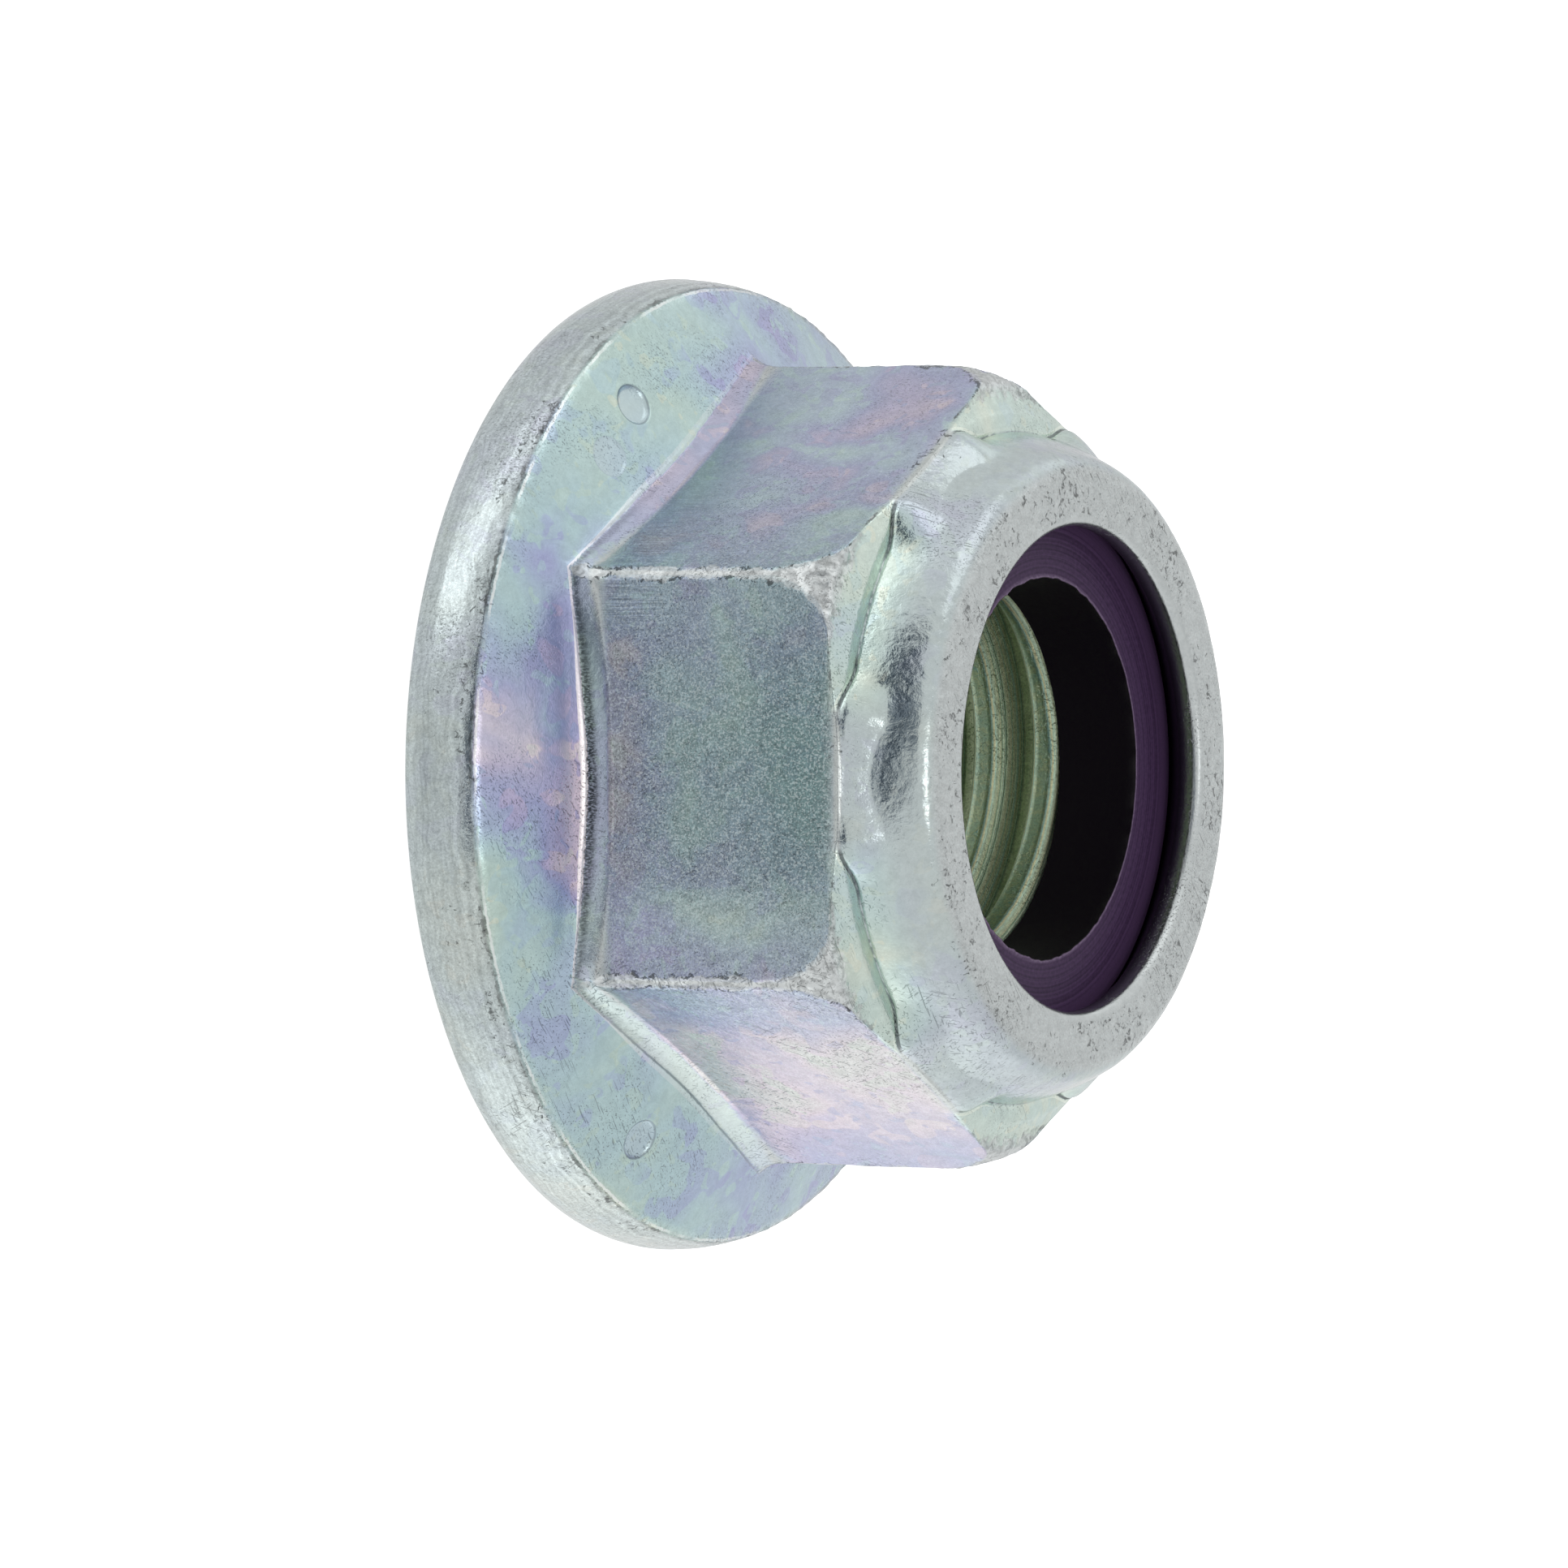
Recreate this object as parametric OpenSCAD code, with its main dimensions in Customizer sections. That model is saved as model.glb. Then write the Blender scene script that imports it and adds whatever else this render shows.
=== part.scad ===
// Hexagon flange lock nut: a cold-formed steel body whose collar is rolled over a captive nylon locking ring.
// Millimetres. +Z runs along the nut's axis, the bearing face lies on z = 0 and the origin is its centre.

/* [Size] */
// Width across the hexagon's flats
across_flats = 12.8; // [12:0.1:13.6]
// Height from the bearing face to the top of the collar
nut_height = 9; // [8:0.1:12]
// Widest diameter of the flange
flange_d = 17.9; // [16.8:0.1:20]

/* [Thread] */
// Nominal diameter of the bolt
thread_d = 8; // [7.6:0.1:8.4]
// Pitch of the bolt's thread
thread_pitch = 1.25; // [0.75:0.05:1.5]
// How much wider the bore is than the thread's basic minor diameter
minor_play = 0.15; // [0:0.01:0.25]
// How far the countersink's edge lies outside the bolt, on each side
countersink_margin = 0.2; // [0.05:0.05:0.6]
// Slope of the countersink's wall from the bearing plane, in degrees
countersink_angle = 45; // [35:1:60]

/* [Flange] */
// Height of the rim's sharp upper edge above the bearing face
rim_h = 1.48; // [1.2:0.02:1.8]
// Height of the rim's widest line above the bearing face
rim_wide_z = 0.55; // [0.4:0.01:0.8]
// How far the rim's upper edge lies inside its widest line
rim_draw_in = 0.17; // [0.08:0.01:0.3]
// Width of the rounding from the rim into the bearing face
bearing_round_w = 0.28; // [0.24:0.01:0.5]
// Slope of the flange's conical top from the bearing plane, in degrees
cone_angle = 25.3; // [18:0.1:30]
// Diameter of the shallow round dents on the conical top
dent_d = 0.78; // [0.5:0.02:1]
// Depth of the dents
dent_depth = 0.06; // [0.03:0.01:0.1]
// How far the outer dents' centres lie inside the rim's upper edge
dent_setback = 1.02; // [0.7:0.02:1.3]
// How much further in the second dent lies than the others
dent_offset = 0.18; // [0:0.02:0.4]

/* [Hexagon] */
// How much is taken off each sharp corner of the hexagon
corner_cut = 0.06; // [0.02:0.01:0.3]
// Width of the rounding that leads each corner into the shoulder
shoulder_round_w = 0.53; // [0.4:0.01:0.7]
// Height of that rounding
shoulder_round_h = 1.3; // [0.8:0.05:1.8]
// Slope of the shoulder, which rises towards the collar, in degrees
shoulder_angle = 10; // [0:1:15]
// Height of the curved foot at the middle of each flat
foot_h = 0.38; // [0.2:0.02:0.6]
// How far the foot stands out from the middle of the flat
foot_w = 0.16; // [0.08:0.01:0.25]

/* [Collar] */
// Height of the collar above the outer edge of the shoulder
collar_h = 1.62; // [1.2:0.02:2.2]
// How far the collar lies inside the hexagon's flats
collar_setback = 0.2; // [0.05:0.01:0.4]
// Width of the collar's rolled outer edge
roll_w = 0.95; // [0.7:0.01:1.2]
// Height of the collar's rolled outer edge
roll_h = 2.3; // [1.6:0.05:3]
// How far the lip reaches in over the ring's pocket
lip_reach = 0.65; // [0.4:0.01:0.9]
// Radius of the lip's upper edge
lip_round = 0.18; // [0.08:0.01:0.25]
// Height of the lip's upright inner wall
lip_wall_h = 0.26; // [0.15:0.01:0.4]
// Slope of the lip's underside, which clamps the ring, in degrees
lip_under_angle = 43; // [35:1:50]

/* [Nylon ring] */
// Diameter of the pocket that holds the ring
pocket_d = 10.1; // [9.6:0.05:10.6]
// Height of the ring
ring_h = 1.62; // [1.2:0.02:2.2]
// Gap between the ring's side and the pocket
ring_side_gap = 0.02; // [0.01:0.01:0.06]
// How deep the bolt's thread bites into the ring, on each side
ring_bite = 0.53; // [0.4:0.01:0.65]
// Height of the open wedge between the lip's lower edge and the ring's top
lip_gap = 0.37; // [0.25:0.01:0.45]

/* [Hidden] */
$fn = 96;
foot_fn = 720;
sides = 6;
overcut = 1;
steel_colour = "#b4b8ba";
nylon_colour = "#45354f";

// Radii of the tight arcs in the roundings of the collar, the shoulder and the rim's lower edge
roll_tight = 0.5;
shoulder_tight = 0.3;
bearing_tight = 0.2;

// Hexagon and collar
flat_r = across_flats / 2;
corner_r = flat_r / cos(180 / sides) - corner_cut;
shoulder_z = nut_height - collar_h;
collar_r = flat_r - collar_setback;

// Flange
flange_r = flange_d / 2;
rim_edge_r = flange_r - rim_draw_in;
rim_arc_h = rim_h - rim_wide_z;
rim_arc_r = (rim_draw_in ^ 2 + rim_arc_h ^ 2) / (2 * rim_draw_in);
function cone_z(r) = rim_h + (rim_edge_r - r) * tan(cone_angle);

// Each dent's angle from the middle of the flat on +X, and how much further in than dent_setback it lies
dents = [[-59, 0], [-49, dent_offset], [59, 0]];

// Each foot is part of a cone so wide that its outline runs out just where the flat does
half_flat = flat_r * tan(180 / sides);
foot_bottom_z = cone_z(flat_r + foot_w);
foot_arc_r = (half_flat ^ 2 + foot_w ^ 2) / (2 * foot_w);
foot_taper = foot_w / foot_h;

// Bore and countersink
bore_r = (thread_d - 2 * 5 / 8 * sqrt(3) / 2 * thread_pitch + minor_play) / 2;
countersink_r = thread_d / 2 + countersink_margin;
countersink_h = (countersink_r - bore_r) * tan(countersink_angle);

// Pocket, lip and ring
pocket_r = pocket_d / 2;
lip_r = pocket_r - lip_reach;
lip_bottom_z = nut_height - lip_round - lip_wall_h;
ring_top_z = lip_bottom_z - lip_gap;
seat_z = ring_top_z - ring_h;
ring_r = pocket_r - ring_side_gap;
ring_hole_r = thread_d / 2 - ring_bite;
function lip_under_z(r) = lip_bottom_z - (r - lip_r) * tan(lip_under_angle);
clamp_r = lip_r + lip_gap / tan(lip_under_angle);

// Part of a disc between two angles less than a right angle apart
module sector(centre, radius, from, to) {
    intersection() {
        translate(centre) circle(radius);
        polygon([
            centre,
            centre + 2 * radius * [cos(from), sin(from)],
            centre + 2 * radius * [cos(to), sin(to)]
        ]);
    }
}

// Outline from the axis to radius r, upright at z = 0 and level at z = h, with a corner w wide and h high
module rounded_top(r, w, h, tight) {
    long = (w ^ 2 + (h - tight) ^ 2 - tight ^ 2) / (2 * (w - tight));
    long_centre = [r - long, 0];
    tight_centre = [r - w, h - tight];
    join = atan2(tight_centre.y - long_centre.y, tight_centre.x - long_centre.x);
    intersection() {
        square([2 * r, 2 * h]);
        union() {
            polygon([[0, 0], long_centre, tight_centre, [r - w, h], [0, h]]);
            sector(long_centre, long, 0, join);
            sector(tight_centre, tight, join, 90);
        }
    }
}

module flange_outline() {
    arc_centre = [flange_r - rim_arc_r, rim_wide_z];
    translate([0, rim_wide_z]) mirror([0, 1])
        rounded_top(flange_r, bearing_round_w, rim_wide_z, bearing_tight);
    intersection() {
        translate([0, rim_wide_z]) square([2 * flange_r, rim_arc_h]);
        union() {
            sector(arc_centre, rim_arc_r, 0, asin(rim_arc_h / rim_arc_r));
            polygon([[0, rim_wide_z], arc_centre, [rim_edge_r, rim_h], [0, rim_h]]);
        }
    }
    polygon([[0, rim_h], [rim_edge_r, rim_h], [0, cone_z(0)]]);
}

// A shallow flat-bottomed dent in the conical top
module dent(angle, further_in) {
    r = rim_edge_r - dent_setback - further_in;
    rotate(angle) translate([r, 0, cone_z(r)]) rotate([0, cone_angle, 0])
        translate([0, 0, -dent_depth]) cylinder(h = overcut, d = dent_d);
}

// The turned envelope of the hexagon: its blunted corners, the rounding above them and the sloping shoulder
module hexagon_outline() {
    round_z = shoulder_z - shoulder_round_h;
    translate([0, rim_h]) square([corner_r, round_z - rim_h]);
    translate([0, round_z]) rounded_top(corner_r, shoulder_round_w, shoulder_round_h, shoulder_tight);
    slope_r = corner_r - shoulder_round_w;
    polygon([[0, shoulder_z], [slope_r, shoulder_z], [0, shoulder_z + slope_r * tan(shoulder_angle)]]);
}

module collar_outline() {
    translate([0, nut_height - roll_h]) rounded_top(collar_r, roll_w, roll_h, roll_tight);
}

// One foot: where a flat meets the flange, it leans out in a shallow curve that fades towards the corners
module foot() {
    reach = 2 * flat_r;
    drop = foot_bottom_z - rim_h;
    intersection() {
        translate([flat_r + foot_w - foot_arc_r, 0, rim_h])
            cylinder(
                h = drop + foot_h,
                r1 = foot_arc_r + drop * foot_taper,
                r2 = foot_arc_r - foot_w,
                $fn = foot_fn
            );
        linear_extrude(height = nut_height)
            polygon([[0, 0], [reach, -reach * tan(180 / sides)], [reach, reach * tan(180 / sides)]]);
    }
}

module hexagon_prism() {
    translate([0, 0, rim_h]) linear_extrude(height = nut_height - rim_h)
        polygon([for (i = [0 : sides - 1])
            flat_r / cos(180 / sides) * [cos((i + 0.5) * 360 / sides), sin((i + 0.5) * 360 / sides)]]);
}

module hexagon() {
    intersection() {
        rotate_extrude() hexagon_outline();
        union() {
            hexagon_prism();
            for (i = [0 : sides - 1]) rotate(i * 360 / sides) foot();
        }
    }
}

// The hollow above the thread: the ring's pocket, the hole in the lip and the round on the lip's edge
module pocket_outline() {
    edge_z = nut_height - lip_round;
    polygon([
        [0, seat_z],
        [pocket_r, seat_z],
        [pocket_r, lip_under_z(pocket_r)],
        [lip_r, lip_bottom_z],
        [lip_r, edge_z],
        [0, edge_z]
    ]);
    difference() {
        translate([0, edge_z]) square([lip_r + lip_round, lip_round + overcut]);
        translate([lip_r + lip_round, edge_z]) circle(lip_round);
    }
}

module countersink() {
    translate([0, 0, -overcut])
        cylinder(
            h = overcut + countersink_h,
            r1 = countersink_r + overcut / tan(countersink_angle),
            r2 = bore_r
        );
}

module nut_body() {
    color(steel_colour) difference() {
        union() {
            rotate_extrude() flange_outline();
            hexagon();
            rotate_extrude() collar_outline();
        }
        translate([0, 0, -overcut]) cylinder(h = seat_z + 2 * overcut, r = bore_r);
        countersink();
        rotate_extrude() pocket_outline();
        for (d = dents) dent(d[0], d[1]);
    }
}

module nylon_ring() {
    color(nylon_colour) rotate_extrude() polygon([
        [ring_hole_r, seat_z],
        [ring_r, seat_z],
        [ring_r, lip_under_z(ring_r)],
        [clamp_r, ring_top_z],
        [ring_hole_r, ring_top_z]
    ]);
}

nut_body();
nylon_ring();
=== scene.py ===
"""A hexagon flange lock nut with a captive nylon ring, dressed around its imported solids."""

import math
from functools import partial

import bmesh
import bpy
import numpy as np
from bpy.props import FloatProperty, FloatVectorProperty, IntProperty, PointerProperty
from mathutils import Matrix, Vector, noise


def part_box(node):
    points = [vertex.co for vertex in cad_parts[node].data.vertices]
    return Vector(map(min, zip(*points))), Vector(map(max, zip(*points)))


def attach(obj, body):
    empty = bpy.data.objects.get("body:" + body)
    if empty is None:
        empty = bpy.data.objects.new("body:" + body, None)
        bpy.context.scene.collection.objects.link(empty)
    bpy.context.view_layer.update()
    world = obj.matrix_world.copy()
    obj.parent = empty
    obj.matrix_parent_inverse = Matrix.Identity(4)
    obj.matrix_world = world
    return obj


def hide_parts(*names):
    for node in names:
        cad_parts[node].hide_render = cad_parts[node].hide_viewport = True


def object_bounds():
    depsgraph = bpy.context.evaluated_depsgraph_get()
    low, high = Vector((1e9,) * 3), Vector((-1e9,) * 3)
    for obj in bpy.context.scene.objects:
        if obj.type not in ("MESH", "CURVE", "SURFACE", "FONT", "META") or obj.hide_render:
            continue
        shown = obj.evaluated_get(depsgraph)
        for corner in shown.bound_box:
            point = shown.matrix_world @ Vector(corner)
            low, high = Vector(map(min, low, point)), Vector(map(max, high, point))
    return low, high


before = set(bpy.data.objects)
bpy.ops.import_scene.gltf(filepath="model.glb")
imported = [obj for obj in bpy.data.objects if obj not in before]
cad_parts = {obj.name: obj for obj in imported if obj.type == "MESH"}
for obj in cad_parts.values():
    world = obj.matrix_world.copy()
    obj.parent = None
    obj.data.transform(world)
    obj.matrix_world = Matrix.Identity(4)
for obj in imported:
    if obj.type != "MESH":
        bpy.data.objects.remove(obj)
cad_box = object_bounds()

bl_info = {
    "name": "Flange lock nut",
    "version": (1, 0, 0),
    "blender": (4, 5, 0),
    "location": "View3D > Sidebar > Lock nut",
    "description": "Builds a zinc plated flange lock nut with a nylon ring, and its studio",
    "category": "Add Mesh",
}

MM = 0.001
SIDES = 6
SIXTH = math.radians(60)
# Columns of vertices to each side of the hexagon, and rows up the body's outside
SIDE_COLUMNS = 84
OUTSIDE_ROWS = 104
ring_low, ring_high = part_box("nylon_ring")


def linear(hex_colour):
    """An sRGB hex colour as the linear values that the shader works with."""
    parts = [int(hex_colour[i : i + 2], 16) / 255 for i in (1, 3, 5)]
    return tuple(p / 12.92 if p <= 0.04045 else ((p + 0.055) / 1.055) ** 2.4 for p in parts)


# Sizes and colours that a user would change


def length(name, text, millimetres):
    """A length property, kept in metres."""
    return FloatProperty(
        name=name,
        description=text,
        default=millimetres * MM,
        min=0,
        precision=5,
        subtype="DISTANCE",
        unit="LENGTH",
    )


def colour(name, text, hex_colour):
    """A colour property."""
    return FloatVectorProperty(
        name=name, description=text, default=linear(hex_colour), min=0, max=1, size=3, subtype="COLOR"
    )


class NutSizes(bpy.types.PropertyGroup):
    """Sizes of the nut's steel body."""

    flange: length("Flange diameter", "Widest diameter of the flange", cad_box[1].x * 2 / MM)
    height: length("Height", "From the bearing face to the top of the collar", cad_box[1].z / MM)
    flats: length("Across flats", "Width of the hexagon across its flats", 12.8)
    rim: length("Rim height", "Height of the rim's upper edge above the bearing face", 1.48)
    collar: length("Collar radius", "Radius of the collar below its rolled edge", 6.2)
    lip: length("Lip radius", "Radius of the opening above the ring", 4.4)
    pocket: length("Pocket radius", "Radius of the pocket that holds the ring", 5.05)
    corner_cut: length("Corner cut", "How much is taken off each corner of the hexagon", 0.06)
    dent: length("Dent diameter", "Diameter of the round dents on the flange", 0.78)
    dent_depth: length("Dent depth", "Depth of the round dents on the flange", 0.06)


class ThreadSizes(bpy.types.PropertyGroup):
    """Sizes of the thread."""

    major: length("Major radius", "Radius at the bottom of the thread's groove", 4.0)
    minor: length("Minor radius", "Radius at the thread's crest", 3.3984)
    pitch: length("Pitch", "Distance from one turn to the next", 1.25)
    start: FloatProperty(name="Start", description="Where it starts, as a share of a turn", default=0.5)
    countersink: length("Countersink radius", "Radius of the countersink at the bearing face", 4.2)
    columns: IntProperty(name="Columns", description="Steps round one turn", default=216, min=24)
    rows: IntProperty(name="Rows", description="Steps across one pitch", default=16, min=8)


class RingSizes(bpy.types.PropertyGroup):
    """Sizes of the nylon ring."""

    hole: length("Hole radius", "Radius of the ring's hole", 3.47)
    outside: length("Outer radius", "Outer radius of the ring", ring_high.x / MM)
    top: length("Top", "Height of the ring's top above the bearing face", ring_high.z / MM)
    seat: length("Seat", "Height of the ring's underside above the bearing face", ring_low.z / MM)
    burr: length("Burr", "Height of the ragged burr round the ring's hole", 0.035)


class NutFinish(bpy.types.PropertyGroup):
    """Colours of the nut."""

    zinc: colour("Zinc", "Bare zinc plating", "#c3c8c8")
    worn: colour("Worn zinc", "Zinc where edges have rubbed bare", "#e3e7e7")
    grime: colour("Grime", "Dark matter in pits and scratches", "#3f4141")
    nylon: colour("Nylon", "The ring", "#4d3859")


class StudioLight(bpy.types.PropertyGroup):
    """Floor, camera and lights."""

    floor: colour("Floor", "The floor", "#f7f7f7")
    lens: FloatProperty(
        name="Lens", description="The camera's focal length in millimetres", default=252.9, min=50, max=600
    )
    dome: FloatProperty(name="Dome", description="Strength of the light from all round", default=0.85, min=0)
    glow: FloatProperty(name="Floor glow", description="Light that the floor gives off", default=0.7, min=0)
    key: FloatProperty(name="Key light", description="Main softbox's power in watts", default=0.08, min=0)


# Node trees

MATH = "ShaderNodeMath"
RAMP = "ShaderNodeValToRGB"
NOISE = "ShaderNodeTexNoise"
MIX = "ShaderNodeMix"


def add_node(tree, kind, settings, *inputs, out=0, stops=()):
    """Adds one node to a tree and gives its output.

    The settings are a dict, or the name of the node's operation. The inputs are values or links, in order
    or in one dict. The stops are those of a ramp, each with a place and a grey, a colour or a hex colour.
    """
    node = tree.nodes.new(kind)
    if isinstance(settings, str):
        settings = {"operation": settings}
    for name, value in settings.items():
        setattr(node, name, value)
    keyed = inputs[0] if inputs and isinstance(inputs[0], dict) else dict(enumerate(inputs))
    for key, value in keyed.items():
        if isinstance(value, bpy.types.NodeSocket):
            tree.links.new(value, node.inputs[key])
        else:
            node.inputs[key].default_value = value
    elements = node.color_ramp.elements if stops else []
    while len(elements) < len(stops):
        elements.new(0.5)
    for element, (place, shade) in zip(elements, stops):
        if isinstance(shade, str):
            shade = linear(shade)
        element.position = place
        element.color = (*shade, 1) if hasattr(shade, "__len__") else (shade, shade, shade, 1)
    return node.outputs[out] if node.outputs else None


def grain(millimetres):
    """Texture scale on Object coordinates, in metres, for features of that size."""
    return 1 / (millimetres * MM)


# Outline of the body, in millimetres. A point of the outside is (along, out) = (z - r, z + r).


def smooth_max(a, b, width):
    """The larger of two outlines, with a fillet where they are less than width apart."""
    near = np.maximum(width - np.abs(a - b), 0)
    return np.maximum(a, b) + near**2 / (4 * width)


def smooth_min(a, b, width):
    """The smaller of two outlines, with a rounding where they are less than width apart."""
    return -smooth_max(-a, -b, width)


def ramp(x, start, end):
    """0 at start, 1 at end and a smooth step between."""
    t = np.clip((x - start) / (end - start), 0, 1)
    return t * t * (3 - 2 * t)


def bump(x, centre, width):
    """A smooth bump, 1 at its centre."""
    return np.exp(-(((x - centre) / width) ** 2))


def arc(centre, radius, start, end, steps):
    """Points of an arc between two angles in degrees, as (r, z)."""
    return [
        (centre[0] + radius * math.cos(math.radians(a)), centre[1] + radius * math.sin(math.radians(a)))
        for a in np.linspace(start, end, steps)
    ]


def rounded_corner(r, top, width, height, tight, steps=16):
    """Points from the upright wall at radius r over a long and a tight arc to the level top."""
    long = (width**2 + (height - tight) ** 2 - tight**2) / (2 * (width - tight))
    long_centre = (r - long, top - height)
    tight_centre = (r - width, top - tight)
    join = math.degrees(math.atan2(tight_centre[1] - long_centre[1], tight_centre[0] - long_centre[0]))
    return arc(long_centre, long, 0, join, steps) + arc(tight_centre, tight, join, 90, steps)[1:]


def table(points):
    """An outline of (r, z) points as two arrays, along and out, for np.interp."""
    r, z = np.array(points, float).T
    return z - r, z + r


class Outline:
    """The body's outline at every angle, from the rim's upper edge to the lip."""

    cone_slope = math.tan(math.radians(25.3))
    rim_draw_in = 0.17
    rim_wide_z = 0.55
    collar_h = 1.62
    lip_round = 0.18
    lip_wall = 0.26
    lip_slope = math.tan(math.radians(43))
    lip_gap = 0.37
    # Width, height and tight radius of the roundings of the bearing face, the shoulder and the collar
    bearing_round = (0.28, 0.55, 0.2)
    shoulder_round = (0.53, 1.3, 0.3)
    collar_roll = (0.95, 2.3, 0.5)

    def __init__(self, sizes):
        self.flat = sizes.flats / MM / 2
        self.top = sizes.height / MM
        self.rim_z = sizes.rim / MM
        self.rim_r = sizes.flange / MM / 2 - self.rim_draw_in
        self.corner = self.flat / math.cos(SIXTH / 2) - sizes.corner_cut / MM
        self.collar_r = sizes.collar / MM
        self.lip_edge = sizes.lip / MM + self.lip_round
        self.start = self.rim_z - self.rim_r
        self.end = self.top - self.lip_edge
        corner, shoulder = self.corner, self.top - self.collar_h
        foot_flare = [(corner + 0.5, 1.2), (corner + 0.2, 2.05), (corner + 0.05, 2.32), (corner, 2.62)]
        crest = [(6.62, 0.06), (6.5, 0.12), (6.42, 0.17), (6.34, 0.19), (6.2, 0.2), (5.0, 0.22)]
        crest = [(r, shoulder + rise) for r, rise in crest]
        self.envelope = table(foot_flare + rounded_corner(corner, shoulder, *self.shoulder_round) + crest)
        roll = rounded_corner(self.collar_r, self.top, *self.collar_roll)
        self.collar = table([(self.collar_r, 0)] + roll + [(self.lip_edge - 0.3, self.top)])

    def fold(self, angle):
        """The angle from the middle of the nearest flat."""
        return (angle + SIXTH / 2) % SIXTH - SIXTH / 2

    def foot_reach(self, off):
        """How far the foot stands out from the flat, by the degrees from the flat's middle."""
        return np.interp(off, [0, 13, 17.5, 24, 27, 30], [0.21, 0.22, 0.2, 0.16, 0.14, 0.1])

    def foot(self, side):
        """Outline of the foot of a flat at an angle from its middle."""
        off = abs(math.degrees(side))
        reach = self.foot_reach(off)
        inner = np.interp(off, [0, 12, 19.8, 27.3, 30], [2.92, 2.87, 2.77, 2.63, 2.4])
        outer_r = (self.flat + reach) / math.cos(side)
        outer_z = self.rim_z + (self.rim_r - outer_r) * self.cone_slope
        t = np.linspace(2.2, 0, 30)
        power = np.interp(off, [0, 20, 30], [1.2, 1.08, 1.03])
        z = inner - (inner - outer_z) * t
        r = (self.flat + reach * t**power) / math.cos(side)
        return table(list(zip(r, z)) + [(r[-1], self.top)]), outer_r

    def cone(self, along):
        """The flange's conical top."""
        edge = self.rim_z + self.rim_r * self.cone_slope
        return (2 * edge - along * (1 - self.cone_slope)) / (1 + self.cone_slope)

    def parts(self, along, angle):
        """The cone, the flat with its foot, the turned envelope and the collar, before they are joined."""
        side = self.fold(angle)
        off = abs(math.degrees(side))
        foot, outer_r = self.foot(side)
        cone = self.cone(along)
        beyond = ((cone - along) / 2 - outer_r) * math.cos(side)
        burr = 0.02 * (bump(beyond, 0.03, 0.04) - bump(beyond, 0.3, 0.16))
        cone = cone + burr * (1 - ramp(off, 24, 29))
        flat = np.interp(along, *foot)
        envelope = np.interp(along, *self.envelope)
        # Near its middle the flat runs on into the collar's wall, which flares out to meet it
        flared = 9.5
        to_flat = (self.flat / math.cos(side) - self.collar_r) * (1 - ramp(off, flared, 2 * flared))
        end = 1.95 + 0.32 * min(off / flared, 1) ** 2
        fade = np.interp(along, [1.15, 1.25, end, end + 0.2], [1, 0.96, 0.06, 0])
        flare = to_flat * ramp(along, 0.6, 0.95) * fade
        collar = np.interp(along, *self.collar) + 2 * flare
        return cone, flat, envelope, collar

    def out(self, along, angle):
        """Outline at one angle, for an array of places along it."""
        off = abs(math.degrees(self.fold(angle)))
        cone, flat, envelope, collar = self.parts(along, angle)
        hexagon = smooth_min(flat, envelope, 0.05)
        whole = smooth_max(cone, hexagon, 0.03 + 0.15 * ramp(off, 24, 29))
        creased = ramp(off, 10.5, 12.5) * (1 - 0.5 * ramp(off, 16, 25))
        return smooth_max(whole, collar, 0.1) - 0.06 * creased * bump(whole - collar, 0, 0.05)

    def lines(self, along, angle):
        """How far each place lies past the edge of a flat, and past the crease below the collar."""
        cone, flat, envelope, collar = self.parts(along, angle)
        body = np.maximum(cone, np.minimum(flat, envelope))
        return (envelope - flat) / 2, (body - collar) / 2

    def rows(self, angles, count):
        """Places along the outline for each column, close together where it turns sharply."""
        fine = np.linspace(self.start, self.end, 1600)
        step = fine[1] - fine[0]
        outs = np.array([self.out(fine, a) for a in angles])
        turn = np.abs(np.gradient(np.gradient(outs, axis=1), axis=1)) / step**2
        kernel = np.hanning(25)
        kernel /= kernel.sum()
        turn = np.array([np.convolve(row, kernel, "same") for row in turn])
        stretch = np.sqrt(1 + np.gradient(outs, axis=1) ** 2 / step**2)
        density = 0.55 * stretch + 1.6 * np.sqrt(turn)
        around = np.hanning(7)
        around /= around.sum()
        wrapped = np.concatenate([density[-3:], density, density[:3]])
        density = np.array([np.convolve(col, around, "valid") for col in wrapped.T]).T
        total = np.cumsum(density, axis=1)
        total = (total - total[:, :1]) / (total[:, -1:] - total[:, :1])
        want = np.linspace(0, 1, count)
        return np.array([np.interp(want, row, fine) for row in total])


def column_angles():
    """Angles round the nut, closer together at the corners of the hexagon."""
    fine = np.linspace(0, SIXTH, 2000)
    off = np.abs(np.degrees(fine - SIXTH / 2))
    density = 1 + 2.6 * bump(off, 0, 2.2) + 0.8 * bump(off, 4, 4)
    total = np.cumsum(density)
    even = np.linspace(0, 1, SIDE_COLUMNS + 1)[:-1]
    sector = np.interp(even, (total - total[0]) / (total[-1] - total[0]), fine)
    return np.concatenate([sector + i * SIXTH for i in range(SIDES)])


# The steel body


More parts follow.
